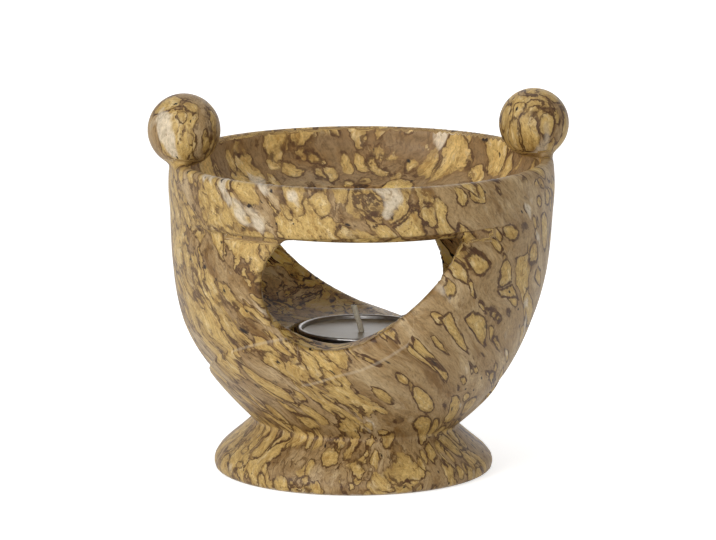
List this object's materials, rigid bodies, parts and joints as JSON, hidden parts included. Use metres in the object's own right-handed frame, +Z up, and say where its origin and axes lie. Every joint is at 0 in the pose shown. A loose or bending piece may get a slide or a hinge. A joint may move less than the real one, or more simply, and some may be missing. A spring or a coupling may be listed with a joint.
{
  "type": "votive candle holder",
  "caption": "Stoneware tealight holder on a flared foot: swept walls with a leaning window front and back, a shallow bowl on top and balls on its rim, with a tealight in a well.",
  "frame": {"origin": "centre of the foot on the surface it stands on", "axes": "+Z up along the body's axis, +X towards the right ball, front towards -Y"},
  "size_m": [0.126, 0.1134, 0.1126],
  "materials": {
    "stoneware": "satin, mottled taupe, brown and ochre",
    "aluminium": "thin pressed foil",
    "wax": "smooth paraffin",
    "tinplate": "stamped",
    "cotton": "braided"
  },
  "bodies": {
    "holder": {"pedestal_foot": "stoneware", "candle_floor": "stoneware", "left_wall": "stoneware", "right_wall": "stoneware", "burner_bowl": "stoneware", "left_ball": "stoneware", "right_ball": "stoneware"},
    "cup": {"tealight_cup": "aluminium"},
    "candle": {"candle_wax": "wax", "wick_tab": "tinplate", "wick": "cotton"}
  },
  "joints": [
    {"name": "tealight_lift", "type": "slide", "parent": "holder", "child": "cup", "axis": [0, 0, 1], "range_m": [0, 0.0165]},
    {"name": "candle_lift", "type": "slide", "parent": "cup", "child": "candle", "axis": [0, 0, 1], "range_m": [0, 0.006]}
  ]
}
